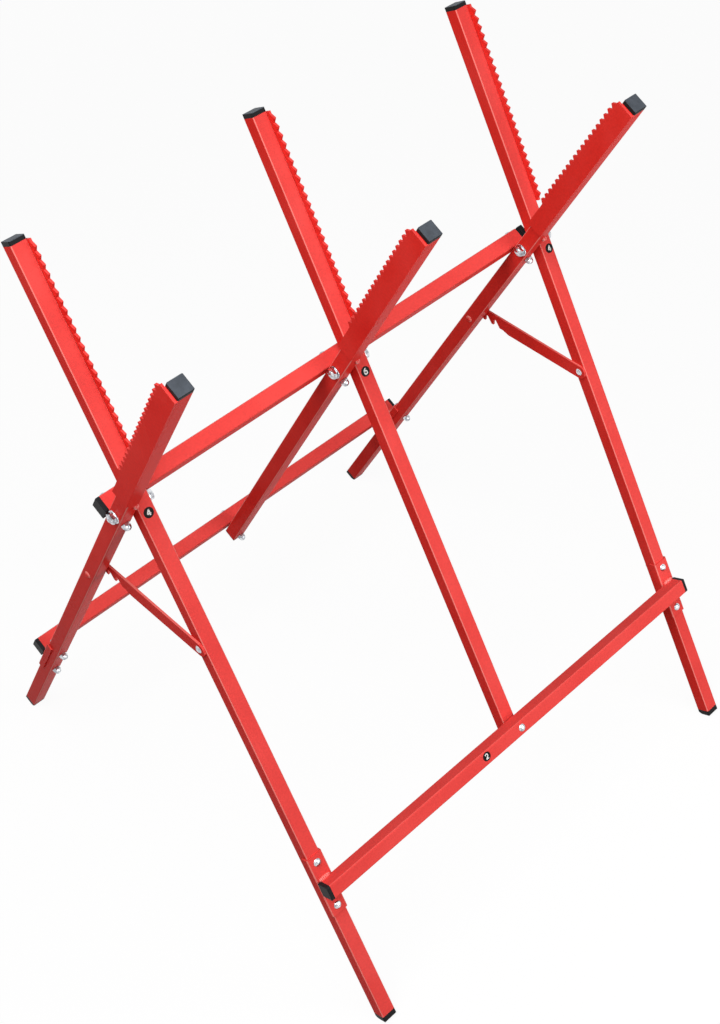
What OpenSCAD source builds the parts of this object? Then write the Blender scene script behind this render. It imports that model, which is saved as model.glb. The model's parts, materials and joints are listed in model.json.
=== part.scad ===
// Folding log saw stand: three toothed X-frames of square tube, joined by rails.
// X runs along the rails, the front is at -Y, Z is up and the feet stand on Z = 0.

/* [Tube] */
// Outside width of the square tube
tube_w = 20; // [18:0.5:24]
// Wall thickness of the tube
tube_wall = 1.5; // [1:0.1:2]
// Outer corner radius of the tube
tube_r = 2; // [1.2:0.1:3]

/* [Frames] */
// Lean of each leg from upright, in degrees
tilt = 28.5; // [26:0.5:31]
// Distance between neighbouring X-frames
frame_pitch = 327.5; // [250:0.5:400]
// Length of the tube above the pivot
arm_len = 312; // [260:1:360]
// Length of the outer tubes below the pivot
leg_len = 750; // [680:1:820]
// Gap between the two tubes of one X-frame
side_gap = 3.4; // [3.2:0.1:6]

/* [Teeth] */
// Thickness of the tooth plate
plate_t = 3; // [2:0.5:4]
// Number of teeth on each front arm
tooth_count = 24; // [15:1:30]
// Number of teeth left off the lower end of each rear arm
rear_plain = 4; // [0:1:8]
// Height of a tooth from valley to tip
tooth_h = 5.2; // [4:0.1:10]
// Depth of plate between the tube face and the tooth valleys
tooth_web = 3.6; // [1:0.1:4]
// Height of the lowest tooth valley above the pivot
teeth_low = 52.4; // [30:0.2:80]
// Distance from the highest tooth valley to the end of the tube
teeth_top = 4.7; // [2:0.1:10]
// Width of the flat on each tooth tip
tip_flat = 0.8; // [0.4:0.1:1.5]

/* [Rails] */
// Distance from the pivot down the leg to the lower rails
rail_drop = 540; // [480:1:600]
// Length of the top rail past the centre of the left rear leg
top_rail_left = 13; // [12:0.5:16]
// Length of the top rail past the centre of the right rear leg
top_rail_right = 13; // [12:0.5:16]
// Room between the top rail and the front legs when open
stop_gap = 0.3; // [0.1:0.1:0.6]

/* [Saddles] */
// Sheet thickness of a saddle
saddle_t = 2; // [1.5:0.1:2.6]
// Length of a saddle along the leg
saddle_len = 87; // [80:1:110]
// Depth of the saddle's side walls down the leg's sides
saddle_wall = 9; // [6:0.5:9.5]
// Outer radius of the saddle's bends
saddle_bend = 2.8; // [2.2:0.1:3.5]
// Distance of the saddle bolts from the rail's centre line
saddle_bolt = 33; // [30:0.5:36]
// Leg length of the fillet welds between rail and saddle
weld_leg = 4; // [3.5:0.5:5]

/* [Caps] */
// Thickness of an arm cap's flange
cap_t = 5.5; // [4:0.5:7]
// Thickness of a rail cap's flange
rail_cap_t = 5; // [3:0.5:6]
// Gap left between the right end of the top rail and its cap, which meets the bolt
top_cap_gap = 4.5; // [0:0.1:6]
// Thickness of a foot cap's flange
foot_t = 8; // [7:0.5:12]
// Thickness of the flange of a middle leg's plug
plug_t = 2; // [1.5:0.5:4]
// Height trimmed off a foot's corner to make its floor flat
foot_flat = 3.4; // [2:0.1:3.6]
// Radius of the edges of a cap
cap_edge = 1; // [0.5:0.1:1.4]
// Length of the plug inside the tube
insert_len = 16; // [10:1:25]
// Wall of the hollow plug inside the tube
insert_wall = 1.6; // [1.2:0.1:2.5]

/* [Braces] */
// Distance from the pivot down the leg to rivet and catch pin
brace_drop = 190; // [170:1:210]
// Thickness of a brace
brace_t = 2.8; // [2:0.1:2.8]
// Height of a brace at its rivet
brace_w = 20; // [18:0.5:24]
// Height of the notched end below the pin's centre
hook_low = 7; // [6.5:0.1:7.5]
// Height of the notched end above the pin's centre
hook_high = 11.5; // [9:0.5:14]
// Length of the brace past the catch pin
hook_end = 12; // [10:0.5:16]
// Distance between notches
notch_pitch = 15; // [14.5:0.5:18]
// Number of notches
notch_count = 3; // [1:1:5]
// Slant of each notch's inner wall from upright, in degrees
notch_slant = 36; // [35:1:38]

/* [Fasteners] */
// Radius of the pivot bolts
pivot_r = 4; // [3.5:0.5:5]
// Radius of the rail bolts
bolt_r = 3; // [2.5:0.5:3.5]
// Radius of the brace rivets
rivet_r = 3; // [2.5:0.5:3.5]
// Radius of the catch pins
pin_r = 2.5; // [2:0.1:2.6]
// Radius of the button heads
head_r = 5.25; // [4.5:0.25:6]
// Height of the button heads
head_h = 3.2; // [2:0.1:4]
// Thickness of the pivot washers
washer_t = 1.6; // [1:0.1:2.5]

/* [Hidden] */
arc_n = 48;
// Fits: running on pivots, threads, drilled holes, plugs in tubes and side play
fit_run = 0.05;
fit_thread = 0.05;
fit_hole = 0.3;
fit_plug = 0.1;
fit_side = 0.1;
fit_notch = 0.3;
brace_play = 0.2;
// Overcut past a surface, and overlap where an outline joins a circle
cut = 1;
lap = 0.1;

half = tube_w / 2;
bore_w = tube_w - 2 * tube_wall;
bore_r = max(tube_r - tube_wall, 0.3);
pair = (tube_w + side_gap) / 2;

// The middle legs end level with the lower rails
plug_proud = 1;
mid_len = rail_drop + half + plug_proud - plug_t;

// Rails stand off the leg by the saddle sheet
rail_y = -(half + saddle_t + half);
saddle_half = half + fit_side + saddle_t;
rail_len = 2 * (frame_pitch + saddle_half - rail_cap_t);

// Plugs that stop short of a bolt
bolt_room = bolt_r + fit_hole + cut;
mid_insert = mid_len - rail_drop - bolt_room;
rail_insert = min(insert_len, min(top_rail_left, top_rail_right) - rail_cap_t - bolt_room);

// The top rail's rounded corner meets the front legs when open
top_drop = (half + stop_gap + tube_r - (half + tube_r) * cos(2 * tilt)) / sin(2 * tilt) + half - tube_r;
top_y = -(half + half);
top_from = -(frame_pitch + top_rail_right - rail_cap_t);
top_to = frame_pitch + top_rail_left - rail_cap_t;

// Tooth row
tooth_pitch = (arm_len - teeth_low - teeth_top) / tooth_count;
plate_low = teeth_low - tooth_web;
plate_gap = 1;
plate_high = arm_len - plate_gap;
valley_y = -(half + tooth_web);
tip_y = valley_y - tooth_h;
flank = (tooth_pitch - tip_flat) / 2;

// Nuts and heads
nut_af = bolt_r * 10 / 3;
nut_hex = bolt_r * 1.5;
nut_dome = nut_af * 0.47;
thread_len = bolt_r * 2;
pivot_af = pivot_r * 13 / 4;
pivot_head = pivot_r * 1.3;
pivot_hex = pivot_r * 1.25;
pivot_dome = pivot_r * 0.625;
pivot_dome_r = pivot_af * 0.477;
pivot_thread = pivot_r * 1.1;
washer_r = pivot_r * 2.1;
rivet_head_r = rivet_r * 5 / 3;
rivet_head_h = rivet_r * 0.7;
collar_r = pin_r * 1.8;
collar_h = pin_r * 0.8;
spacer_r = bolt_r * 2.2;
button_r = 3.6;
button_h = 4;
button_x = -(half - tube_r - button_r);
button_z = 31;

// Place in space: the origin is below the middle of the overall box
shift = (pivot_hex + pivot_dome - pivot_head) / 2;
pivot_z = (leg_len + foot_t) * cos(tilt) + half * sin(tilt) - foot_flat;
brace_y = brace_drop * sin(tilt);
brace_z = pivot_z - brace_drop * cos(tilt);
brace_reach = 2 * brace_y;

red = "#D9322E";
black = "#2B2D30";
zinc = "#B9BDC2";

LEFT = -1;
MID = 0;
RIGHT = 1;

// Leg frames: local Z runs up the leg, -Y is the leg's outer face, the teeth are at +X
module front_at(i) {
    translate([i * frame_pitch + pair + shift, 0, pivot_z]) rotate([-tilt, 0, 0]) children();
}

module rear_at(i) {
    translate([i * frame_pitch - pair + shift, 0, pivot_z])
        rotate([0, 0, 180]) rotate([-tilt, 0, 0]) children();
}

// Square with round corners
module round_square(w, r) {
    square([w - 2 * r, w], center = true);
    square([w, w - 2 * r], center = true);
    for (sx = [-1, 1], sy = [-1, 1])
        translate([sx * (w / 2 - r), sy * (w / 2 - r)]) circle(r = r, $fn = arc_n);
}

// Hollow square tube from one height to another
module tube(from, to) {
    translate([0, 0, from]) linear_extrude(height = to - from) difference() {
        round_square(tube_w, tube_r);
        round_square(bore_w, bore_r);
    }
}

// Holes across a tube, side to side and front to back
module side_hole(z, r) {
    translate([0, 0, z]) rotate([0, 90, 0]) cylinder(r = r, h = 2 * tube_w, center = true, $fn = arc_n);
}

module face_hole(z, r) {
    translate([0, 0, z]) rotate([90, 0, 0]) cylinder(r = r, h = 2 * tube_w, center = true, $fn = arc_n);
}

// Leg tube with its pivot hole and the holes given
module leg(low, face_z, side_z, side_r) {
    color(red) difference() {
        tube(-low, arm_len);
        side_hole(0, pivot_r + fit_run);
        for (z = face_z) face_hole(z, bolt_r + fit_hole);
        for (z = side_z) side_hole(z, side_r + fit_run);
    }
}

saddle_holes = [-rail_drop - saddle_bolt, -rail_drop + saddle_bolt];
module front_outer_leg(i) { front_at(i) leg(leg_len, saddle_holes, [-brace_drop], rivet_r); }
module rear_outer_leg(i) { rear_at(i) leg(leg_len, concat(saddle_holes, [-top_drop]), [-brace_drop], pin_r); }
module front_leg_left() { front_outer_leg(LEFT); }
module front_leg_middle() { front_at(MID) leg(mid_len, [-rail_drop], [], rivet_r); }
module front_leg_right() { front_outer_leg(RIGHT); }
module rear_leg_left() { rear_outer_leg(LEFT); }
module rear_leg_middle() { rear_at(MID) leg(mid_len, [-rail_drop, -top_drop], [], pin_r); }
module rear_leg_right() { rear_outer_leg(RIGHT); }

// Saw-toothed plate on the side of an arm, with a plain edge below its first tooth
module teeth(first) {
    row = [for (k = [first : tooth_count - 1]) let (z = teeth_low + k * tooth_pitch) each [
        [valley_y, z],
        [tip_y, z + flank],
        [tip_y, z + flank + tip_flat]
    ]];
    ends = [
        [valley_y, arm_len - teeth_top], [valley_y, plate_high],
        [half, plate_high], [half, plate_low], [valley_y, plate_low]
    ];
    color(red) translate([half, 0, 0]) rotate([90, 0, 90])
        linear_extrude(height = plate_t) polygon(concat(row, ends));
}

module front_teeth_left() { front_at(LEFT) teeth(0); }
module front_teeth_middle() { front_at(MID) teeth(0); }
module front_teeth_right() { front_at(RIGHT) teeth(0); }
module rear_teeth_left() { rear_at(LEFT) teeth(rear_plain); }
module rear_teeth_middle() { rear_at(MID) teeth(rear_plain); }
module rear_teeth_right() { rear_at(RIGHT) teeth(rear_plain); }

// Rail tube along X, with bolt holes front to back
module rail(from, to, holes) {
    color(red) difference() {
        rotate([0, 90, 0]) tube(from, to);
        for (x = holes) translate([x, 0, 0]) face_hole(0, bolt_r + fit_hole);
    }
}

module low_rail() {
    translate([0, rail_y, -rail_drop]) rail(-rail_len / 2, rail_len / 2, [0]);
}

module front_rail() { front_at(MID) low_rail(); }
module rear_rail() { rear_at(MID) low_rail(); }
module top_rail() {
    rear_at(MID) translate([0, top_y, -top_drop]) rail(top_from, top_to, [-frame_pitch, 0, frame_pitch]);
}

// Folded sheet saddle that straddles the outer half of a leg
module saddle_outline() {
    base_y = -(half + saddle_t);
    open_y = saddle_wall - half;
    bend_x = saddle_half - saddle_bend;
    difference() {
        union() {
            translate([-saddle_half, base_y + saddle_bend])
                square([2 * saddle_half, open_y - base_y - saddle_bend]);
            translate([-bend_x, base_y]) square([2 * bend_x, open_y - base_y]);
            for (s = [-1, 1])
                translate([s * bend_x, base_y + saddle_bend]) circle(r = saddle_bend, $fn = arc_n);
        }
        translate([-half - fit_side, -half]) square([tube_w + 2 * fit_side, tube_w]);
    }
}

module saddle() {
    color(red) difference() {
        translate([0, 0, -rail_drop - saddle_len / 2]) linear_extrude(height = saddle_len) saddle_outline();
        for (z = saddle_holes) face_hole(z, bolt_r + fit_hole);
    }
}

module front_saddle_left() { front_at(LEFT) saddle(); }
module front_saddle_right() { front_at(RIGHT) saddle(); }
module rear_saddle_left() { rear_at(LEFT) saddle(); }
module rear_saddle_right() { rear_at(RIGHT) saddle(); }

// Fillet welds above and below the rail on a saddle
module saddle_welds() {
    color(red) for (s = [-1, 1])
        translate([0, -half - saddle_t, -rail_drop + s * half]) rotate([90, 0, 90])
            linear_extrude(height = 2 * (half - tube_r), center = true)
                polygon([[0, 0], [-weld_leg, 0], [0, s * weld_leg]]);
}

module front_welds() { for (i = [LEFT, RIGHT]) front_at(i) saddle_welds(); }
module rear_welds() { for (i = [LEFT, RIGHT]) rear_at(i) saddle_welds(); }

// Round button: part of a ball standing on the plane Z = 0
module button(r, h) {
    ball = (r * r + h * h) / (2 * h);
    intersection() {
        translate([0, 0, h - ball]) sphere(r = ball, $fn = arc_n);
        translate([-2 * r, -2 * r, 0]) cube([4 * r, 4 * r, 2 * h]);
    }
}

module rear_weld_buttons() {
    color(red) for (i = [LEFT, MID, RIGHT]) rear_at(i)
        translate([button_x, half, button_z]) rotate([-90, 0, 0]) button(button_r, button_h);
}

// Plastic cap: flange on the tube's end and a hollow plug inside the tube
module cap(t, plug_len) {
    plug_w = bore_w - 2 * fit_plug;
    color(black) {
        flange(t);
        translate([0, 0, -plug_len]) linear_extrude(height = plug_len) difference() {
            round_square(plug_w, bore_r);
            square(plug_w - 2 * insert_wall, center = true);
        }
    }
}

// Flange with round edges on its outer end, at +Z
module flange(t) {
    intersection() {
        linear_extrude(height = t) round_square(tube_w, tube_r);
        edge_bar(t, 0);
        edge_bar(t, 90);
    }
}

// Bar with two round upper edges, turned about Z
module edge_bar(t, turn) {
    rotate([90, 0, turn]) linear_extrude(height = 2 * tube_w, center = true) {
        translate([-half, -cut]) square([tube_w, t - cap_edge + cut]);
        translate([-half + cap_edge, -cut]) square([tube_w - 2 * cap_edge, t + cut]);
        for (s = [-1, 1]) translate([s * (half - cap_edge), t - cap_edge]) circle(r = cap_edge, $fn = arc_n);
    }
}

module arm_cap() { translate([0, 0, arm_len]) cap(cap_t, insert_len); }
module leg_plug() { translate([0, 0, -mid_len]) rotate([180, 0, 0]) cap(plug_t, mid_insert); }
module foot_cap() { translate([0, 0, -leg_len]) rotate([180, 0, 0]) cap(foot_t, insert_len); }

// The floor trims each foot level
module floor_trim() {
    room = 2 * (frame_pitch + leg_len);
    difference() {
        children();
        color(black) translate([-room / 2, -room / 2, -room]) cube([room, room, room]);
    }
}

module front_arm_cap_left() { front_at(LEFT) arm_cap(); }
module front_arm_cap_middle() { front_at(MID) arm_cap(); }
module front_arm_cap_right() { front_at(RIGHT) arm_cap(); }
module rear_arm_cap_left() { rear_at(LEFT) arm_cap(); }
module rear_arm_cap_middle() { rear_at(MID) arm_cap(); }
module rear_arm_cap_right() { rear_at(RIGHT) arm_cap(); }
module front_foot_left() { floor_trim() front_at(LEFT) foot_cap(); }
module front_foot_right() { floor_trim() front_at(RIGHT) foot_cap(); }
module rear_foot_left() { floor_trim() rear_at(LEFT) foot_cap(); }
module rear_foot_right() { floor_trim() rear_at(RIGHT) foot_cap(); }
module front_leg_plug() { front_at(MID) leg_plug(); }
module rear_leg_plug() { rear_at(MID) leg_plug(); }

// Cap on a rail's end: flange of one thickness, standing off the tube by the gap
module rail_cap(t, gap) { translate([0, 0, gap]) cap(t, rail_insert + gap); }

module low_rail_caps() {
    translate([0, rail_y, -rail_drop]) for (s = [-1, 1])
        translate([s * rail_len / 2, 0, 0]) rotate([0, s * 90, 0]) rail_cap(rail_cap_t, 0);
}
module front_rail_caps() { front_at(MID) low_rail_caps(); }
module rear_rail_caps() { rear_at(MID) low_rail_caps(); }
module top_rail_caps() {
    rear_at(MID) translate([0, top_y, -top_drop]) {
        translate([top_to, 0, 0]) rotate([0, 90, 0]) rail_cap(rail_cap_t, 0);
        translate([top_from, 0, 0]) rotate([0, -90, 0]) rail_cap(foot_t, top_cap_gap);
    }
}

// Button-head bolt: the head's seat is at Z = 0 and the shank runs down through the grip
module bolt(grip) {
    color(zinc) {
        button(head_r, head_h);
        translate([0, 0, -grip - thread_len]) cylinder(r = bolt_r, h = grip + thread_len, $fn = arc_n);
    }
}

// Dome nut with its seat at Z = 0
module dome_nut() {
    color(zinc) difference() {
        union() {
            cylinder(r = nut_af / 2 / cos(30), h = nut_hex, $fn = 6);
            translate([0, 0, nut_hex]) sphere(r = nut_dome, $fn = arc_n);
        }
        translate([0, 0, -cut])
            cylinder(r = bolt_r + fit_thread, h = thread_len + cut + fit_hole, $fn = arc_n);
    }
}

// Seats on the outer side at a depth from the leg's axis, and on the leg's inner face
module outer_seat(depth, z) { translate([0, -depth, z]) rotate([90, 0, 0]) children(); }
module inner_seat(z) { translate([0, half, z]) rotate([-90, 0, 0]) children(); }

module saddle_bolts() { for (z = saddle_holes) outer_seat(half + saddle_t, z) bolt(tube_w + saddle_t); }
module saddle_nuts() { for (z = saddle_holes) inner_seat(z) dome_nut(); }
module front_saddle_bolts() { for (i = [LEFT, RIGHT]) front_at(i) saddle_bolts(); }
module front_saddle_nuts() { for (i = [LEFT, RIGHT]) front_at(i) saddle_nuts(); }
module rear_saddle_bolts() { for (i = [LEFT, RIGHT]) rear_at(i) saddle_bolts(); }
module rear_saddle_nuts() { for (i = [LEFT, RIGHT]) rear_at(i) saddle_nuts(); }

// Middle legs hold the lower rails with one long bolt and a spacer as thick as a saddle
module middle_bolt() { outer_seat(half + saddle_t + tube_w, -rail_drop) bolt(2 * tube_w + saddle_t); }
module middle_nut() { inner_seat(-rail_drop) dome_nut(); }
module middle_spacer() {
    color(zinc) outer_seat(half, -rail_drop) difference() {
        cylinder(r = spacer_r, h = saddle_t, $fn = arc_n);
        translate([0, 0, -cut]) cylinder(r = bolt_r + fit_hole, h = saddle_t + 2 * cut, $fn = arc_n);
    }
}

module front_middle_bolt() { front_at(MID) middle_bolt(); }
module front_middle_nut() { front_at(MID) middle_nut(); }
module front_middle_spacer() { front_at(MID) middle_spacer(); }
module rear_middle_bolt() { rear_at(MID) middle_bolt(); }
module rear_middle_nut() { rear_at(MID) middle_nut(); }
module rear_middle_spacer() { rear_at(MID) middle_spacer(); }
module top_rail_bolts() {
    for (i = [LEFT, MID, RIGHT]) rear_at(i) outer_seat(half + tube_w, -top_drop) bolt(2 * tube_w);
}
module top_rail_nuts() { for (i = [LEFT, MID, RIGHT]) rear_at(i) inner_seat(-top_drop) dome_nut(); }

// Pivots run along X through both tubes of an X-frame; this frame has Z along world -X
module pivot_at(i) {
    translate([i * frame_pitch + shift, 0, pivot_z]) rotate([0, -90, 0]) children();
}

head_seat = -(pair + half);
nut_seat = pair + half;

module pivot_bolt() {
    color(zinc) {
        translate([0, 0, head_seat - washer_t - pivot_head])
            cylinder(r = pivot_af / 2 / cos(30), h = pivot_head, $fn = 6);
        translate([0, 0, head_seat - washer_t])
            cylinder(r = pivot_r, h = nut_seat - head_seat + 2 * washer_t + pivot_thread, $fn = arc_n);
    }
}

module pivot_nut() {
    dome_z = pivot_hex + pivot_dome - pivot_dome_r;
    color(zinc) translate([0, 0, nut_seat + washer_t]) difference() {
        union() {
            cylinder(r = pivot_af / 2 / cos(30), h = pivot_hex, $fn = 6);
            intersection() {
                translate([0, 0, dome_z]) sphere(r = pivot_dome_r, $fn = arc_n);
                translate([-pivot_af, -pivot_af, 0]) cube([2 * pivot_af, 2 * pivot_af, 2 * pivot_hex]);
            }
        }
        translate([0, 0, -cut])
            cylinder(r = pivot_r + fit_thread, h = pivot_thread + cut + fit_thread, $fn = arc_n);
    }
}

module ring(z, t, r) {
    color(zinc) translate([0, 0, z]) difference() {
        cylinder(r = r, h = t, $fn = arc_n);
        translate([0, 0, -cut]) cylinder(r = pivot_r + fit_run, h = t + 2 * cut, $fn = arc_n);
    }
}

module pivot_bolts() { for (i = [LEFT, MID, RIGHT]) pivot_at(i) pivot_bolt(); }
module pivot_nuts() { for (i = [LEFT, MID, RIGHT]) pivot_at(i) pivot_nut(); }
module pivot_washers() {
    for (i = [LEFT, MID, RIGHT]) pivot_at(i) {
        ring(head_seat - washer_t, washer_t, washer_r);
        ring(nut_seat + fit_run, washer_t - fit_run, washer_r);
    }
}
module pivot_spacers() {
    for (i = [LEFT, MID, RIGHT]) pivot_at(i) ring(-side_gap / 2, side_gap - fit_run, washer_r);
}

// Rivets through the outer front legs and braces; this frame has Z along the leg's -X
module across_at() { translate([0, 0, -brace_drop]) rotate([0, -90, 0]) children(); }

module brace_rivet() {
    far = half + brace_play + brace_t + fit_side;
    color(zinc) across_at() {
        translate([0, 0, -half]) rotate([180, 0, 0]) button(rivet_head_r, rivet_head_h);
        translate([0, 0, -half]) cylinder(r = rivet_r, h = half + far, $fn = arc_n);
        translate([0, 0, far]) button(rivet_head_r, rivet_head_h);
    }
}

module brace_rivets() { for (i = [LEFT, RIGHT]) front_at(i) brace_rivet(); }

// Catch pins through the outer rear legs, with a collar beyond the brace
module catch_pin() {
    far = half + side_gap - brace_play + fit_side;
    color(red) across_at() {
        translate([0, 0, -half]) rotate([180, 0, 0]) button(rivet_head_r, rivet_head_h);
        translate([0, 0, -half]) cylinder(r = pin_r, h = half + far, $fn = arc_n);
        translate([0, 0, far]) cylinder(r = collar_r, h = collar_h, $fn = arc_n);
    }
}

module catch_pins() { for (i = [LEFT, RIGHT]) rear_at(i) catch_pin(); }

// Notch over the catch pin: round top, upright outer wall, inner wall slanted so the pin can leave
module notch() {
    r = pin_r + fit_notch;
    inner = r - lap;
    low = -hook_low - cut;
    top_x = -inner * cos(notch_slant);
    top_z = inner * sin(notch_slant);
    foot_x = top_x - (top_z - low) * tan(notch_slant) - lap;
    circle(r = r, $fn = arc_n);
    polygon([[0, 0], [inner, 0], [r + fit_notch, low], [foot_x, low], [top_x, top_z]]);
}

module brace_outline() {
    r = brace_w / 2;
    end_x = brace_reach + hook_end;
    neck_x = brace_reach - notch_count * notch_pitch;
    chamfer = hook_end / 4;
    difference() {
        union() {
            circle(r = r, $fn = arc_n);
            polygon([
                [0, lap - r], [neck_x - r, -r], [neck_x, -hook_low], [end_x - chamfer, -hook_low],
                [end_x, -hook_low + chamfer], [end_x, hook_high - chamfer],
                [end_x - chamfer, hook_high], [0, r - lap]
            ]);
        }
        circle(r = rivet_r + fit_run, $fn = arc_n);
        for (k = [0 : notch_count - 1]) translate([brace_reach - k * notch_pitch, 0]) notch();
    }
}

module brace(i) {
    face_x = i * frame_pitch + pair + shift - half - brace_play - brace_t;
    color(red) translate([face_x, -brace_y, brace_z]) rotate([90, 0, 90])
        linear_extrude(height = brace_t) brace_outline();
}

module brace_left() { brace(LEFT); }
module brace_right() { brace(RIGHT); }

front_leg_left();
front_leg_middle();
front_leg_right();
rear_leg_left();
rear_leg_middle();
rear_leg_right();
front_teeth_left();
front_teeth_middle();
front_teeth_right();
rear_teeth_left();
rear_teeth_middle();
rear_teeth_right();
front_rail();
rear_rail();
top_rail();
front_saddle_left();
front_saddle_right();
rear_saddle_left();
rear_saddle_right();
front_welds();
rear_welds();
rear_weld_buttons();
front_arm_cap_left();
front_arm_cap_middle();
front_arm_cap_right();
rear_arm_cap_left();
rear_arm_cap_middle();
rear_arm_cap_right();
front_foot_left();
front_foot_right();
rear_foot_left();
rear_foot_right();
front_leg_plug();
rear_leg_plug();
front_rail_caps();
rear_rail_caps();
top_rail_caps();
front_saddle_bolts();
front_saddle_nuts();
rear_saddle_bolts();
rear_saddle_nuts();
front_middle_bolt();
front_middle_nut();
front_middle_spacer();
rear_middle_bolt();
rear_middle_nut();
rear_middle_spacer();
top_rail_bolts();
top_rail_nuts();
pivot_bolts();
pivot_nuts();
pivot_washers();
pivot_spacers();
brace_rivets();
catch_pins();
brace_left();
brace_right();
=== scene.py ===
"""Looks of a folding log saw stand: finishes, fasteners, weld beads, number discs, studio and camera."""
import json
import logging
import math
from dataclasses import dataclass
from enum import Enum
from typing import Any

import bmesh
import bpy
import numpy as np
from mathutils import Matrix


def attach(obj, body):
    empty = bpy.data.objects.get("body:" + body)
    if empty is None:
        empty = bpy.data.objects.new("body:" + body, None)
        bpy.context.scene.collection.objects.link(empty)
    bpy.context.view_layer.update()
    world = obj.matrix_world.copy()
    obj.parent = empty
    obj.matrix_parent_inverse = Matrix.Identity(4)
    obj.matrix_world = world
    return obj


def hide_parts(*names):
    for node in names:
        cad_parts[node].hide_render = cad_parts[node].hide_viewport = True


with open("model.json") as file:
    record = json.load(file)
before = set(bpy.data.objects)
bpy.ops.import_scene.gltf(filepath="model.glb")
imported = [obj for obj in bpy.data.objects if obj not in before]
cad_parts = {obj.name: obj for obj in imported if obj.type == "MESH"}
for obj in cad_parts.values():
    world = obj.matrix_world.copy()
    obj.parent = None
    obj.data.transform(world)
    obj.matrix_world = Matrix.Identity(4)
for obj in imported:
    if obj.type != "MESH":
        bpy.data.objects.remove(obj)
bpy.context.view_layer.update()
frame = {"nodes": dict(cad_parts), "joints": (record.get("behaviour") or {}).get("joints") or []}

LOG = logging.getLogger("log_saw_stand")

# One millimetre in Blender's metres
MM = 0.001
# Points closer than this many metres are one point
MERGE = 1e-6
# Edges sharper than this many degrees stay sharp
CREASE = 32.0
# Lean of every leg from upright, in degrees
TILT = 28.5
# Range that a noise mostly keeps to, and its middle
NOISE_RANGE = (0.3, 0.7)
NOISE_MIDDLE = 0.5
# Whole range of a share
SHARE = (0.0, 1.0)
WHITE = "#FFFFFF"

Array = np.ndarray
Material = bpy.types.Material
Tree = bpy.types.NodeTree
Socket = bpy.types.NodeSocket
Pair = tuple[float, float]
Point = tuple[float, float, float]
# Pairs of radius and height, in millimetres
Profile = list[Pair]


class Side(Enum):
    """The two crossing frames, with the sign of their lean along Y."""

    FRONT = 1
    REAR = -1


class Place(Enum):
    """The three X-frames along the rails, with the sign of their place along X."""

    LEFT = -1
    MIDDLE = 0
    RIGHT = 1


class Body(Enum):
    """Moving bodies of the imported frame."""

    FRONT = "front_frame"
    REAR = "rear_frame"
    BRACE_LEFT = "brace_left"
    BRACE_RIGHT = "brace_right"


class Slot(Enum):
    """Material slots of the record."""

    RED = "red_paint"
    BLACK = "black_plastic"
    ZINC = "zinc"


class Facing(Enum):
    """Ways a fastener's Z axis can point in a leg's frame, as the images of X, Y and Z."""

    OUTWARD = ((1, 0, 0), (0, 0, 1), (0, -1, 0))
    INWARD = ((1, 0, 0), (0, 0, -1), (0, 1, 0))
    MINUS_X = ((0, 0, 1), (0, 1, 0), (-1, 0, 0))
    PLUS_X = ((0, 0, -1), (0, 1, 0), (1, 0, 0))
    UPWARD = ((1, 0, 0), (0, 1, 0), (0, 0, 1))


class Digit(Enum):
    """Plain assembly numbers on the discs."""

    TWO = 2
    FOUR = 4
    SIX = 6


BODY_OF = {Side.FRONT: Body.FRONT, Side.REAR: Body.REAR}
OUTER = [Place.LEFT, Place.RIGHT]
ALL = [Place.LEFT, Place.MIDDLE, Place.RIGHT]


def linear(colour: str) -> tuple[float, float, float, float]:
    """Turns an sRGB hex colour to linear RGBA.

    Args:
        colour: colour such as "#DC2A24".

    Returns:
        Red, green, blue and a full alpha, in linear light.
    """
    knee, slope, offset, power, full = 0.04045, 12.92, 0.055, 2.4, 255
    coded = np.array(list(bytes.fromhex(colour.lstrip("#")))) / full
    light = np.where(coded <= knee, coded / slope, ((coded + offset) / (1 + offset)) ** power)
    red, green, blue = (float(c) for c in light)
    return red, green, blue, 1.0


def per_metre(size_mm: float) -> float:
    """Gives the pattern scale of a feature of that size, in millimetres."""
    return 1 / (size_mm * MM)


def add_node(
    tree: Tree,
    kind: str,
    settings: dict[str, Any] | None = None,
    values: dict[Any, Any] | None = None,
    links: dict[Any, Socket] | None = None,
) -> bpy.types.Node:
    """Adds one node with its settings, socket values and links.

    Args:
        tree: node tree that the node goes into.
        kind: node type, as Blender names it.
        settings: node properties by name.
        values: input values by socket name or number.
        links: source sockets by input name or number.

    Returns:
        The new node.
    """
    node = tree.nodes.new(kind)
    for key, value in (settings or {}).items():
        setattr(node, key, value)
    for key, value in (values or {}).items():
        node.inputs[key].default_value = value
    for key, source in (links or {}).items():
        tree.links.new(source, node.inputs[key])
    return node


def new_material(name: str) -> tuple[Material, Tree]:
    """Makes an empty node material.

    Args:
        name: the material's name.

    Returns:
        The material and its node tree.
    """
    material = bpy.data.materials.new(name)
    material.use_nodes = True
    material.node_tree.nodes.clear()
    return material, material.node_tree


def show(tree: Tree, shader: Socket) -> None:
    """Ends a material's tree with an output that shows a shader."""
    add_node(tree, "ShaderNodeOutputMaterial", links={"Surface": shader})


def principled(tree: Tree, values: dict[str, float], links: dict[str, Socket]) -> None:
    """Ends a material's tree with one principled surface of these constants and sources."""
    show(tree, add_node(tree, "ShaderNodeBsdfPrincipled", values=values, links=links).outputs["BSDF"])


def coordinate(tree: Tree, output: str) -> Socket:
    """Adds a texture coordinate of the named kind, such as Object or Normal."""
    return add_node(tree, "ShaderNodeTexCoord").outputs[output]


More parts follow.
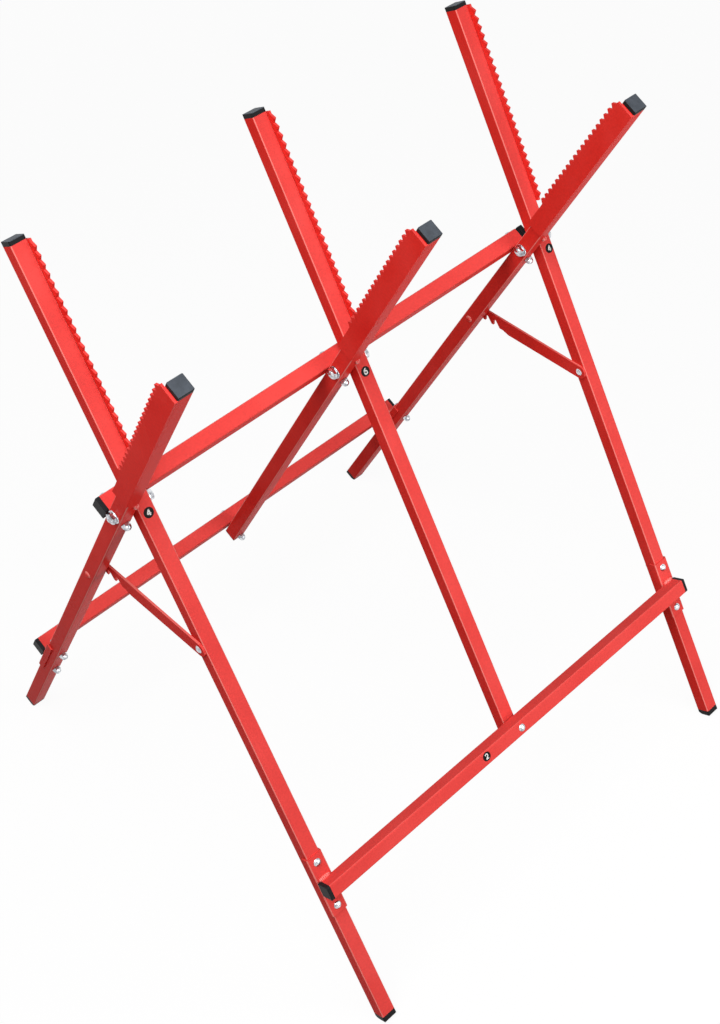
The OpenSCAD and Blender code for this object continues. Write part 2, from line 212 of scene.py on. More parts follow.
def noise(tree: Tree, size_mm: float, detail: float, roughness: float = 0.5) -> Socket:
    """Adds a noise in object coordinates.

    Args:
        tree: node tree that the nodes go into.
        size_mm: size of its features, in millimetres.
        detail: number of finer layers.
        roughness: strength of each finer layer as a share of the one before.

    Returns:
        Socket with the noise's value.
    """
    values = {"Scale": per_metre(size_mm), "Detail": detail, "Roughness": roughness}
    links = {"Vector": coordinate(tree, "Object")}
    return add_node(tree, "ShaderNodeTexNoise", values=values, links=links).outputs["Fac"]


def mapped(tree: Tree, value: Socket, source: Pair, target: Pair) -> Socket:
    """Adds a linear map of a value from the source range to the target range, held at its ends."""
    values = {"From Min": source[0], "From Max": source[1], "To Min": target[0], "To Max": target[1]}
    return add_node(tree, "ShaderNodeMapRange", values=values, links={"Value": value}).outputs["Result"]


def combined(tree: Tree, operation: str, *sources: Socket) -> Socket:
    """Adds a math operation, as Blender names it, on one or two values."""
    links = dict(enumerate(sources))
    return add_node(tree, "ShaderNodeMath", {"operation": operation}, links=links).outputs["Value"]


def blended(tree: Tree, share: Socket, first: str | Socket, second: str) -> Socket:
    """Adds a mix of two colours.

    Args:
        tree: node tree that the node goes into.
        share: socket with the second colour's share.
        first: hex colour or socket of the first.
        second: hex colour of the second.

    Returns:
        Socket with the mixed colour.
    """
    values = {"B": linear(second)}
    links = {"Factor": share}
    if isinstance(first, str):
        values["A"] = linear(first)
    else:
        links["A"] = first
    return add_node(tree, "ShaderNodeMix", {"data_type": "RGBA"}, values, links).outputs["Result"]


def bumped(tree: Tree, height: Socket, depth_mm: float) -> Socket:
    """Adds a bump of full strength, whose heights 0 and 1 lie that many millimetres apart."""
    values = {"Strength": 1.0, "Distance": depth_mm * MM}
    return add_node(tree, "ShaderNodeBump", values=values, links={"Height": height}).outputs["Normal"]


def upward(tree: Tree, span: Pair, most: float) -> Socket:
    """Adds a value that rises from 0 to the most as the upward share of a face's normal crosses the span."""
    parts = add_node(tree, "ShaderNodeSeparateXYZ", links={"Vector": coordinate(tree, "Normal")})
    return mapped(tree, parts.outputs["Z"], span, (0.0, most))


@dataclass(frozen=True)
class PowderCoat:
    """Polyester powder coat, sprayed on steel and baked.

    To the eye it is a smooth red skin with a faint orange peel. Its colour drifts a little with the
    coat's thickness and fine specks of dust lie in it. A faint white sheen is painted on the faces that
    look up, and a pale highlight is painted on the tubes' rounded corners. Its reflection is
    kept low, because the white floor would wash out the side faces.
    """

    name: str = "polyester_powder_coat_red"
    base: str = "#E5332C"
    thin: str = "#E93B35"
    thick: str = "#E02C26"
    # Pale highlight painted on the tubes' rounded corners
    corner: str = "#F3877F"
    # Painted sheen on the faces that look up: its colour, upward shares of the normal where it begins and is
    # full, and its cover
    upward_sheen: str = WHITE
    upward_sheen_span: Pair = (0.1, 0.45)
    upward_sheen_cover: float = 0.035
    # Cosines of the angle to the nearest flat face, where the painted corner highlight begins and where it
    # is full
    painted_highlight_span: Pair = (0.97, 0.8)
    cloud_mm: float = 90.0
    cloud_detail: float = 3.0
    cloud_roughness: float = 0.55
    # Specks, and the brightness of the darkest and the lightest
    speck_mm: float = 3.0
    speck_detail: float = 2.0
    speck_span: Pair = (0.94, 1.05)
    # Orange peel is 1 to 2 mm across, drawn coarser so that it shows
    peel_mm: float = 4.0
    peel_detail: float = 1.0
    peel_depth_mm: float = 0.05
    # Roughness where the coat is thick and where it is thin
    roughness: Pair = (0.24, 0.34)
    ior: float = 1.5
    specular: float = 0.006
    # Lean of the legs, which sets where the flat faces look
    lean: float = math.radians(TILT)

    def material(self) -> Material:
        """Builds the coat's node material.

        Returns:
            The material.
        """
        material, tree = new_material(self.name)
        cloud = noise(tree, self.cloud_mm, self.cloud_detail, self.cloud_roughness)
        drift = add_node(tree, "ShaderNodeValToRGB", links={"Fac": cloud})
        elements = drift.color_ramp.elements
        for element, position, colour in zip(elements, NOISE_RANGE, (self.thick, self.thin)):
            element.position = position
            element.color = linear(colour)
        elements.new(NOISE_MIDDLE).color = linear(self.base)
        speck = noise(tree, self.speck_mm, self.speck_detail)
        specked = add_node(tree, "ShaderNodeHueSaturation", links={
            "Color": drift.outputs["Color"],
            "Value": mapped(tree, speck, NOISE_RANGE, self.speck_span),
        })
        # Painted sheen: white mixed into the faces that look up
        sheen_share = upward(tree, self.upward_sheen_span, self.upward_sheen_cover)
        sheened = blended(tree, sheen_share, specked.outputs["Color"], self.upward_sheen)
        peel = noise(tree, self.peel_mm, self.peel_detail)
        principled(tree, {"IOR": self.ior, "Specular IOR Level": self.specular}, {
            # Painted highlight: pale colour mixed onto the rounded corners
            "Base Color": blended(tree, self.corners(tree), sheened, self.corner),
            "Roughness": mapped(tree, cloud, NOISE_RANGE, self.roughness),
            "Normal": bumped(tree, peel, self.peel_depth_mm),
        })
        return material

    def corners(self, tree: Tree) -> Socket:
        """Adds nodes that give 0 on the flat faces of tubes and rails and 1 on their rounded corners, where
        a pale highlight is painted.

        Args:
            tree: the coat's node tree.

        Returns:
            Socket with the painted highlight's share.
        """
        normal = coordinate(tree, "Normal")
        across, along = math.cos(self.lean), math.sin(self.lean)
        front = ((0, across, -along), (0, along, across))
        rear = ((0, across, along), (0, -along, across))
        nearest = None
        for face in ((1, 0, 0), *front, *rear):
            facing = add_node(
                tree, "ShaderNodeVectorMath", {"operation": "DOT_PRODUCT"}, {1: face}, {0: normal},
            )
            size = combined(tree, "ABSOLUTE", facing.outputs["Value"])
            nearest = size if nearest is None else combined(tree, "MAXIMUM", size, nearest)
        return mapped(tree, nearest, self.painted_highlight_span, SHARE)


@dataclass(frozen=True)
class MouldedPlastic:
    """Black polyethylene, injection moulded in a spark-eroded mould.

    To the eye it is a matt black with a fine grain, greyer in patches on upward faces, where a sheen is
    painted.
    """

    name: str
    sheen_colour: str
    base: str = "#1C1B1C"
    sheen_mm: float = 9.0
    sheen_detail: float = 4.0
    # Cover of the painted sheen in its faintest and strongest patches
    sheen_patch_span: Pair = (0.7, 1.0)
    # Upward shares of the face's normal at which the painted sheen starts, and at which it is full
    sheen_rise_span: Pair = (0.5, 0.95)
    # Spark-eroded grain is about 0.3 mm across, drawn coarser so that it shows
    grain_mm: float = 1.6
    grain_detail: float = 1.0
    grain_depth_mm: float = 0.06
    roughness: float = 0.5
    ior: float = 1.51
    specular: float = 0.08

    def material(self) -> Material:
        """Builds the plastic's node material.

        Returns:
            The material.
        """
        material, tree = new_material(self.name)
        # Painted sheen: grey mixed in patches into the upward faces
        sheen_noise = noise(tree, self.sheen_mm, self.sheen_detail)
        patches = mapped(tree, sheen_noise, NOISE_RANGE, self.sheen_patch_span)
        share = combined(tree, "MULTIPLY", upward(tree, self.sheen_rise_span, 1.0), patches)
        grain = noise(tree, self.grain_mm, self.grain_detail)
        values = {"IOR": self.ior, "Specular IOR Level": self.specular, "Roughness": self.roughness}
        principled(tree, values, {
            "Base Color": blended(tree, share, self.base, self.sheen_colour),
            "Normal": bumped(tree, grain, self.grain_depth_mm),
        })
        return material


@dataclass(frozen=True)
class ZincPlate:
    """Steel fasteners, electroplated with bright zinc.

    To the eye it is a pale silver with soft, cloudy reflections.
    """

    name: str = "bright_zinc_plated_steel"
    bright: str = "#E4E6EA"
    cloudy: str = "#8E9198"
    cloud_mm: float = 4.0
    cloud_detail: float = 3.0
    # Noise values between which bright turns cloudy
    cloud_span: Pair = (0.38, 0.66)
    # Roughness at the least and the greatest noise value
    roughness: Pair = (0.1, 0.22)

    def material(self) -> Material:
        """Builds the plate's node material.

        Returns:
            The material.
        """
        material, tree = new_material(self.name)
        cloud = noise(tree, self.cloud_mm, self.cloud_detail)
        stain = mapped(tree, cloud, self.cloud_span, SHARE)
        principled(tree, {"Metallic": 1.0}, {
            "Base Color": blended(tree, stain, self.bright, self.cloudy),
            "Roughness": mapped(tree, cloud, SHARE, self.roughness),
        })
        return material


@dataclass(frozen=True)
class PrintedVinyl:
    """Self-adhesive vinyl film, screen printed.

    To the eye it is an even, satin colour with a slight unevenness of the ink.
    """

    name: str
    base: str
    worn: str
    ink_mm: float = 1.5
    ink_detail: float = 2.0
    roughness: float = 0.45
    ior: float = 1.53
    specular: float = 0.06

    def material(self) -> Material:
        """Builds the film's node material.

        Returns:
            The material.
        """
        material, tree = new_material(self.name)
        ink = noise(tree, self.ink_mm, self.ink_detail)
        values = {"IOR": self.ior, "Specular IOR Level": self.specular, "Roughness": self.roughness}
        principled(tree, values, {"Base Color": blended(tree, ink, self.base, self.worn)})
        return material


def add_object(name: str, data: bpy.types.ID) -> bpy.types.Object:
    """Makes an object at the origin and links it into the scene.

    Args:
        name: the object's name.
        data: its mesh, camera or light.

    Returns:
        The object.
    """
    thing = bpy.data.objects.new(name, data)
    bpy.context.scene.collection.objects.link(thing)
    return thing


def framed(axes: Array, place: Point) -> Array:
    """Puts three axes and a place into one matrix.

    Args:
        axes: X, Y and Z as columns.
        place: where the origin lies.

    Returns:
        Matrix of 4 by 4.
    """
    matrix = np.eye(4)
    matrix[:3, :3] = axes
    matrix[:3, 3] = place
    return matrix


@dataclass
class Surface:
    """A mesh as whole arrays, in millimetres.

    Attributes:
        points: n rows of X, Y and Z.
        quads: m rows of four point numbers.
    """

    points: Array
    quads: Array

    def at(self, seats: Array) -> "Surface":
        """Copies the surface to each seat, by one product of all seats with all points.

        Args:
            seats: k matrices of 4 by 4.

        Returns:
            One surface of k copies.
        """
        count = len(self.points)
        whole = np.hstack([self.points, np.ones((count, 1))])
        points = np.einsum("kij,nj->kni", seats, whole)[..., :3].reshape(-1, 3)
        steps = np.arange(len(seats))[:, None, None] * count
        return Surface(points, (self.quads[None] + steps).reshape(-1, 4))

    @staticmethod
    def joined(parts: list["Surface"]) -> "Surface":
        """Puts several surfaces into one, with their point numbers moved on.

        Args:
            parts: the surfaces.

        Returns:
            The one surface.
        """
        starts = np.cumsum([0] + [len(p.points) for p in parts[:-1]])
        quads = np.vstack([p.quads + s for p, s in zip(parts, starts)])
        return Surface(np.vstack([p.points for p in parts]), quads)

    def to_object(self, name: str, material: Material) -> bpy.types.Object:
        """Makes a closed, outward-facing mesh object at the origin.

        Args:
            name: the object's name.
            material: its one material.

        Returns:
            The object, linked into the scene.
        """
        mesh = bpy.data.meshes.new(name)
        mesh.from_pydata((self.points * MM).tolist(), [], self.quads.tolist())
        work = bmesh.new()
        work.from_mesh(mesh)
        bmesh.ops.remove_doubles(work, verts=work.verts, dist=MERGE)
        bmesh.ops.recalc_face_normals(work, faces=work.faces)
        work.to_mesh(mesh)
        work.free()
        mesh.shade_smooth()
        mesh.set_sharp_from_angle(angle=math.radians(CREASE))
        mesh.materials.append(material)
        return add_object(name, mesh)


def grid_quads(rows: int, columns: int) -> Array:
    """Quads of a grid whose last column joins its first.

    Args:
        rows: number of rows of points.
        columns: points in each row.

    Returns:
        Four point numbers for each quad, row by row.
    """
    across = np.arange(columns)
    low = np.arange(rows - 1)[:, None] * columns
    here = low + across
    beside = low + (across + 1) % columns
    return np.stack([here, beside, beside + columns, here + columns], axis=-1).reshape(-1, 4)


def whole_turn(columns: int) -> Array:
    """Gives that many angles, evenly spread over a turn."""
    return np.arange(columns) * (2 * np.pi / columns)


def polar(radius: Array, height: Array, columns: int) -> Surface:
    """Surface round Z: the point of row r at angle a is (R cos a, R sin a, H).

    Args:
        radius: R for each row, or for each row and column.
        height: H in the same form.
        columns: number of angles, evenly spread over a turn.

    Returns:
        The surface, closed round Z.
    """
    angle = whole_turn(columns)
    rows = len(radius)
    reach = np.broadcast_to(radius.reshape(rows, -1), (rows, columns))
    level = np.broadcast_to(height.reshape(rows, -1), (rows, columns))
    points = np.stack([reach * np.cos(angle), reach * np.sin(angle), level], axis=-1)
    return Surface(points.reshape(-1, 3), grid_quads(rows, columns))


def turned(profile: Profile, columns: int) -> Surface:
    """Surface of revolution of a profile, carried round Z in that many columns."""
    pairs = np.array(profile, dtype=float)
    return polar(pairs[:, 0], pairs[:, 1], columns)


def swept(path: Array, rings: Array) -> Surface:
    """Profile carried along a path: point j of row i is path point i plus ring point j of that row.

    Both ends are closed by one more row drawn in to the path's own end point.

    Args:
        path: n rows of X, Y and Z.
        rings: n rows of k offsets from the path.

    Returns:
        The closed surface.
    """
    rows, columns = rings.shape[:2]
    body = path[:, None, :] + rings
    first = np.broadcast_to(path[:1, None, :], (1, columns, 3))
    last = np.broadcast_to(path[-1:, None, :], (1, columns, 3))
    points = np.concatenate([first, body, last])
    return Surface(points.reshape(-1, 3), grid_quads(rows + 2, columns))


def dome(radius: float, height: float, steps: int, base: float = 0.0) -> Profile:
    """Profile of part of a ball that stands on a circle, from its rim up to its pole.

    Args:
        radius: radius of the circle it stands on.
        height: height of the pole above that circle.
        steps: number of steps from rim to pole.
        base: height of the circle.

    Returns:
        Radius and height pairs, with the pole's radius exactly zero.
    """
    ball = (radius ** 2 + height ** 2) / (2 * height)
    start = math.acos((ball - height) / ball)
    bend = np.linspace(start, 0, steps + 1)
    rise = ball * np.cos(bend) - (ball - height) + base
    reach = ball * np.sin(bend)
    reach[-1] = 0
    return list(zip(reach.tolist(), rise.tolist()))


def shank(radius: float, tip: float, end: float) -> Profile:
    """Profile of a bolt's shank, from its end over a chamfer of the tip's size up to height 0."""
    return [(0, end), (radius - tip, end), (radius, end + tip), (radius, 0)]


@dataclass(frozen=True)
class HexForm:
    """Hexagon across flats, with its corners turned off by a 30 degree cone."""

    across: float
    columns: int = 72
    chamfer: float = 0.94
    cone: float = 30.0

    def outline(self) -> Array:
        """Radius of the hexagon at each angle: half the flats over the cosine from the nearest flat."""
        side = np.pi / 3
        return self.across / 2 / np.cos(np.mod(whole_turn(self.columns), side) - side / 2)

    def rim(self) -> float:
        """Radius where the cone leaves the flat end."""
        return self.across / 2 * self.chamfer

    def drop(self) -> Array:
        """Depth of the cone at the outline: the radius past the rim times the cone's tangent."""
        return (self.outline() - self.rim()) * math.tan(math.radians(self.cone))

    def build(self, before: Profile, high: float, after: Profile) -> Surface:
        """Hexagon that stands on height 0, between two turned profiles.

        Args:
            before: radius and height pairs that lead up to the lower rim.
            high: height of the upper end.
            after: radius and height pairs that lead away from the upper rim.

        Returns:
            The whole surface round Z.
        """
        ones = np.ones(self.columns)
        rows = [(r * ones, z * ones) for r, z in before + [(self.rim(), 0)]]
        rows.append((self.outline(), self.drop()))
        rows.append((self.outline(), high - self.drop()))
        rows += [(r * ones, z * ones) for r, z in [(self.rim(), high)] + after]
        radius = np.array([r for r, _ in rows])
        height = np.array([z for _, z in rows])
        return polar(radius, height, self.columns)


@dataclass(frozen=True)
class StandFrame:
    """Where the legs stand, in millimetres and degrees, as the solids have them."""

    tilt: float = TILT
    frame_pitch: float = 327.5
    pair: float = 11.7
    shift: float = 1.15
    half: float = 10.0
    corner: float = 2.0
    stop_gap: float = 0.3
    rail_drop: float = 540.0
    saddle_t: float = 2.0
    saddle_bolt: float = 33.0
    brace_drop: float = 190.0
    side_gap: float = 3.4

    def pivot_height(self) -> float:
        """Height of the pivot line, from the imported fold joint."""
        fold = next(j for j in frame["joints"] if j["name"] == "fold")
        return fold["pos_m"][2] / MM

    def top_drop(self) -> float:
        """Works out where the top rail rests against the front legs.

        Returns:
            Distance from the pivot down the rear leg.
        """
        cross = math.radians(2 * self.tilt)
        bend = self.half + self.corner
        reach = (self.half + self.stop_gap + self.corner - bend * math.cos(cross)) / math.sin(cross)
        return reach + self.half - self.corner

    def leg(self, side: Side, place: Place) -> Array:
        """Frame of a leg: Z up the leg, -Y its outer face, X towards its teeth.

        Args:
            side: front or rear frame.
            place: which X-frame along the rails.

        Returns:
            Matrix of 4 by 4, in millimetres.
        """
        lean = math.radians(self.tilt)
        sign = side.value
        axes = np.array([
            (sign, 0, 0),
            (0, sign * math.cos(lean), -math.sin(lean)),
            (0, sign * math.sin(lean), math.cos(lean)),
        ]).T
        along = place.value * self.frame_pitch + sign * self.pair + self.shift
        return framed(axes, (along, 0, self.pivot_height()))

    def pivot(self, place: Place) -> Array:
        """Frame on the pivot line in the middle of an X-frame, with the world's axes."""
        return framed(np.eye(3), (place.value * self.frame_pitch + self.shift, 0, self.pivot_height()))

    @staticmethod
    def seat(carrier: Array, spot: Point, facing: Facing) -> Array:
        """Frame of a fastener that faces a way at a spot of its carrier, a leg's or pivot's frame."""
        return carrier @ framed(np.array(facing.value, dtype=float).T, spot)

    def seats(self, side: Side, places: list[Place], spots: list[tuple[Point, Facing]]) -> Array:
        """Frames of fasteners on legs, one for each place and each spot with its facing."""
        return np.array([self.seat(self.leg(side, p), s, facing) for p in places for s, facing in spots])

    def outer_spots(self, side: Side, places: list[Place], depth: float, drops: list[float]) -> Array:
        """Seats on the outer side of legs, one for each place and each distance below the pivot."""
        return self.seats(side, places, [((0, -depth, -d), Facing.OUTWARD) for d in drops])

    def inner_spots(self, side: Side, places: list[Place], drops: list[float]) -> Array:
        """Seats on the inner face of legs, one for each place and each distance below the pivot."""
        return self.seats(side, places, [((0, self.half, -d), Facing.INWARD) for d in drops])


class Finishes:
    """The stand's finishes, each built once."""

    def __init__(self) -> None:
        """Builds every finish."""
        self.red = PowderCoat().material()
        # The coat runs together on the weld metal and sets glossier there
        self.pooled = PowderCoat(
            "polyester_powder_coat_red_pooled", roughness=(0.12, 0.18), specular=0.4).material()
        # Both blacks pale on upward faces as a painted sheen; the arms' caps get the stronger one
        self.black = MouldedPlastic("moulded_polyethylene_black_clean", sheen_colour="#232326").material()
        self.painted_sheen = MouldedPlastic("moulded_polyethylene_black_painted_sheen", sheen_colour="#565C64").material()
        self.zinc = ZincPlate().material()
        self.disc = PrintedVinyl("printed_vinyl_black", base="#0C0C0D", worn="#141415").material()
        self.digit = PrintedVinyl("printed_vinyl_white", base="#F2F1EE", worn="#E4E2DE").material()


@dataclass
class SubAssembly:
    """What every sub-assembly shares: the stand's frame and its finishes."""

    stand: StandFrame
    finishes: Finishes

    def dress(self, names: list[str], material: Material) -> None:
        """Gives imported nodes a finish.

        Args:
            names: node names.
            material: finish for all their slots.
        """
        for name in names:
            for slot in frame["nodes"][name].material_slots:
                slot.material = material
            LOG.info("%s wears %s", name, material.name)

    def place(
        self,
        name: str,
        surface: Surface,
        material: Material,
        body: Body,
        slot: Slot,
        nodes: tuple[str, ...] = (),
    ) -> None:
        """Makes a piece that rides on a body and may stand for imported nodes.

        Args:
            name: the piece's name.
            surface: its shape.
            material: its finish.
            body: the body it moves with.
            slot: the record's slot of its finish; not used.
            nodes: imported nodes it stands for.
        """
        piece = surface.to_object(name, material)
        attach(piece, body.value)
        if nodes:
            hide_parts(*nodes)
        LOG.info("%s has %d faces and rides on %s", name, len(piece.data.polygons), body.value)

    def plated(self, name: str, surface: Surface, body: Body, node: str) -> None:
        """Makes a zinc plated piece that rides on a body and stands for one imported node."""
        self.place(name, surface, self.finishes.zinc, body, Slot.ZINC, (node,))


@dataclass
class PaintedSteel(SubAssembly):
    """Legs, tooth plates, rails, saddles and braces: cut and welded steel under one coat."""

    stems: tuple[str, ...] = ("leg", "teeth", "rail", "saddle")
    extras: tuple[str, ...] = (Body.BRACE_LEFT.value, Body.BRACE_RIGHT.value, "top_rail")

    def build(self) -> None:
        """Coats every painted node."""
        ends = [p.name.lower() for p in ALL]
        possible = [f"{s.name.lower()}_{stem}" for s in Side for stem in self.stems]
        possible += [f"{stem}_{end}" for stem in list(possible) for end in ends]
        names = [n for n in possible if n in frame["nodes"]]
        self.dress(names + list(self.extras), self.finishes.red)


@dataclass
class PlasticEnds(SubAssembly):
    """Arm caps, rail caps, leg plugs and feet."""

    words: tuple[str, ...] = ("caps", "foot", "plug")
    sheen_word: str = "cap"

    def build(self) -> None:
        """Gives every cap, plug and foot the moulded plastic, with a stronger painted sheen on the arms'
        upturned caps.
        """
        parts = {n: n.split("_") for n in frame["nodes"]}
        self.dress([n for n, words in parts.items() if set(words) & set(self.words)], self.finishes.black)
        self.dress([n for n, words in parts.items() if self.sheen_word in words], self.finishes.painted_sheen)


@dataclass
class RailFasteners(SubAssembly):
    """Cup-head bolts, dome nuts and spacers that hold the rails to the legs, M6."""

    columns: int = 48
    dome_steps: int = 12
    bolt_r: float = 3.0
    head_r: float = 5.25
    head_h: float = 3.2
    head_rim: float = 0.35
    tip: float = 0.6
    thread: float = 6.0
    bore: float = 3.05
    bore_depth: float = 6.3
    nut_across: float = 10.0
    nut_hex: float = 4.5
    nut_dome: float = 4.7
    spacer_r: float = 6.6
    spacer_hole: float = 3.3
    spacer_edge: float = 0.3

    def bolt(self, grip: float) -> Surface:
        """Turned profile: tip, shank, flat underside, a low rim and a domed head; the seat is Z = 0.

        Args:
            grip: thickness that the bolt passes through.

        Returns:
            The closed bolt.
        """
        rim = self.head_rim
        low = shank(self.bolt_r, self.tip, -grip - self.thread)
        crown = dome(self.head_r, self.head_h - rim, self.dome_steps, rim)
        return turned(low + [(self.head_r - rim / 2, 0)] + crown, self.columns)

    def nut(self) -> Surface:
        """Bore, chamfered hexagon and a ball-shaped cap centred on the hexagon's top.

        Returns:
            The closed nut.
        """
        cap = dome(self.nut_dome, self.nut_dome, self.dome_steps, self.nut_hex)
        bore = [(0, self.bore_depth), (self.bore, self.bore_depth), (self.bore, 0)]
        return HexForm(self.nut_across).build(bore, self.nut_hex, cap)

    def spacer(self) -> Surface:
        """Turned ring with its outer edges broken.

        Returns:
            The closed ring.
        """
        deep = self.stand.saddle_t
        edge = self.spacer_edge
        rim = self.spacer_r
        hole = self.spacer_hole
        ring = [
            (hole, 0), (rim - edge, 0), (rim, edge), (rim, deep - edge), (rim - edge, deep), (hole, deep),
            (hole, 0),
        ]
        return turned(ring, self.columns)

    def build(self) -> None:
        """Builds the bolts, nuts and spacers of both frames and of the top rail."""
        stand = self.stand
        tube = 2 * stand.half
        sheet = stand.saddle_t
        mid = stand.rail_drop
        pair = [mid - stand.saddle_bolt, mid + stand.saddle_bolt]
        for side in Side:
            word = side.name.lower()
            saddle_seats = stand.outer_spots(side, OUTER, stand.half + sheet, pair)
            rail_seat = stand.outer_spots(side, [Place.MIDDLE], stand.half + sheet + tube, [mid])
            gap_seat = stand.outer_spots(side, [Place.MIDDLE], stand.half, [mid])
            saddle_backs = stand.inner_spots(side, OUTER, pair)
            rail_back = stand.inner_spots(side, [Place.MIDDLE], [mid])
            made = [
                ("saddle_bolts", "cup_head_bolts", self.bolt(tube + sheet).at(saddle_seats)),
                ("middle_bolt", "long_cup_head_bolt", self.bolt(2 * tube + sheet).at(rail_seat)),
                ("middle_spacer", "turned_spacer", self.spacer().at(gap_seat)),
                ("saddle_nuts", "dome_nuts", self.nut().at(saddle_backs)),
                ("middle_nut", "dome_nut", self.nut().at(rail_back)),
            ]
            for node, label, surface in made:
                self.plated(f"{word}_{label}", surface, BODY_OF[side], f"{word}_{node}")
        top = [stand.top_drop()]
        bolts = self.bolt(2 * tube).at(stand.outer_spots(Side.REAR, ALL, stand.half + tube, top))
        nuts = self.nut().at(stand.inner_spots(Side.REAR, ALL, top))
        self.plated("top_rail_cup_head_bolts", bolts, Body.REAR, "top_rail_bolts")
        self.plated("top_rail_dome_nuts", nuts, Body.REAR, "top_rail_nuts")


@dataclass
class PivotHardware(SubAssembly):
    """Hexagon bolts, low dome nuts, washers and spacers of the three pivots, M8."""

    columns: int = 72
    dome_steps: int = 10
    bolt_r: float = 4.0
    across: float = 13.0
    head: float = 5.2
    hexagon: float = 5.0
    crown: float = 2.5
    crown_ball: float = 6.2
    thread: float = 4.4
    tip: float = 0.5
    bore: float = 4.05
    washer_r: float = 8.4
    washer_t: float = 1.6
    washer_play: float = 0.05
    edge: float = 0.35
    # Where the rounding by the punch turns, as a share of the edge
    punch: float = 0.3

    def bolt(self, grip: float) -> Surface:
        """Turned tip and shank, then a hexagon head with a turned face; the seat is Z = 0."""
        low = shank(self.bolt_r, self.tip, -grip - self.thread)
        return HexForm(self.across).build(low, self.head, [(0, self.head)])

    def nut(self) -> Surface:
        """Bore, chamfered hexagon and the upper part of a ball.

        Returns:
            The closed nut.
        """
        deep = self.thread + self.washer_play
        rim = math.sqrt(self.crown_ball ** 2 - (self.crown_ball - self.crown) ** 2)
        cap = dome(rim, self.crown, self.dome_steps, self.hexagon)
        bore = [(0, deep), (self.bore, deep), (self.bore, 0)]
        return HexForm(self.across).build(bore, self.hexagon, cap)

    def ring(self, thick: float) -> Surface:
        """Stamped ring: a turned profile whose upper outer edge is rounded by the punch.

        Args:
            thick: thickness of the ring.

        Returns:
            The closed ring.
        """
        edge = self.edge
        turn = edge * self.punch
        rim = self.washer_r
        bore = self.bore
        outline = [
            (bore, 0), (rim - edge / 2, 0), (rim, edge / 2), (rim, thick - edge), (rim - turn, thick - turn),
            (rim - edge, thick), (bore + edge, thick), (bore, thick - edge), (bore, 0),
        ]
        return turned(outline, self.columns)

    def spots(self, along: float, facing: Facing) -> Array:
        """Seats on the three pivots, at a distance from each X-frame's middle along X."""
        return np.array([self.stand.seat(self.stand.pivot(p), (along, 0, 0), facing) for p in ALL])

    def build(self) -> None:
        """Builds the pivots' bolts, nuts, washers and spacers."""
        side = self.stand.pair + self.stand.half
        outside = side + self.washer_t
        play = self.washer_play
        gap = self.stand.side_gap
        bolts = self.bolt(2 * outside).at(self.spots(outside, Facing.PLUS_X))
        nuts = self.nut().at(self.spots(-outside, Facing.MINUS_X))
        washers = Surface.joined([
            self.ring(self.washer_t).at(self.spots(side, Facing.PLUS_X)),
            self.ring(self.washer_t - play).at(self.spots(-side - play, Facing.MINUS_X)),
        ])
        spacers = self.ring(gap - play).at(self.spots(gap / 2, Facing.MINUS_X))
        made = [
            ("pivot_bolts", "pivot_hex_bolts", bolts),
            ("pivot_nuts", "pivot_dome_nuts", nuts),
            ("pivot_washers", "pivot_stamped_washers", washers),
            ("pivot_spacers", "pivot_turned_spacers", spacers),
        ]
        for node, name, surface in made:
            self.plated(name, surface, Body.FRONT, node)


@dataclass
class BraceHardware(SubAssembly):
    """Rivets that the braces turn on and pins that their notches drop over."""

    columns: int = 48
    dome_steps: int = 10
    rivet_r: float = 3.0
    rivet_head: float = 5.0
    rivet_rise: float = 2.1
    pin_r: float = 2.5
    collar_r: float = 4.5
    collar_h: float = 2.0
    collar_edge: float = 0.5
    brace_play: float = 0.2
    brace_t: float = 2.8
    side_play: float = 0.1

    def stem(self, radius: float, far: float) -> Profile:
        """Domed head on the leg's near side, then a shank through the leg.

        Args:
            radius: the shank's radius.
            far: height of the shank's far end.

        Returns:
            Profile from the head's pole to the shank's far end.
        """
        seat = -self.stand.half
        rise = dome(self.rivet_head, self.rivet_rise, self.dome_steps)
        return [(r, seat - z) for r, z in reversed(rise)] + [(radius, seat), (radius, far)]

    def rivet(self) -> Surface:
        """Turned profile: a domed head, the shank through leg and brace, and a second domed head.

        Returns:
            The closed rivet.
        """
        far = self.stand.half + self.brace_play + self.brace_t + self.side_play
        top = dome(self.rivet_head, self.rivet_rise, self.dome_steps, far)
        return turned(self.stem(self.rivet_r, far) + top, self.columns)

    def pin(self) -> Surface:
        """Turned profile: a domed head, the shank and a collar with a broken edge beyond the brace.

        Returns:
            The closed pin.
        """
        far = self.stand.half + self.stand.side_gap - self.brace_play + self.side_play
        end = far + self.collar_h
        edge = self.collar_edge
        collar = [(self.collar_r, far), (self.collar_r, end - edge), (self.collar_r - edge, end), (0, end)]
        return turned(self.stem(self.pin_r, far) + collar, self.columns)

    def build(self) -> None:
        """Builds the rivets and the catch pins, across the outer legs at the braces' height."""
        spots = [((0, 0, -self.stand.brace_drop), Facing.MINUS_X)]
        rivets = self.rivet().at(self.stand.seats(Side.FRONT, OUTER, spots))
        pins = self.pin().at(self.stand.seats(Side.REAR, OUTER, spots))
        self.plated("brace_domed_rivets", rivets, Body.FRONT, "brace_rivets")
        self.place("brace_catch_pins", pins, self.finishes.red, Body.REAR, Slot.RED, ("catch_pins",))


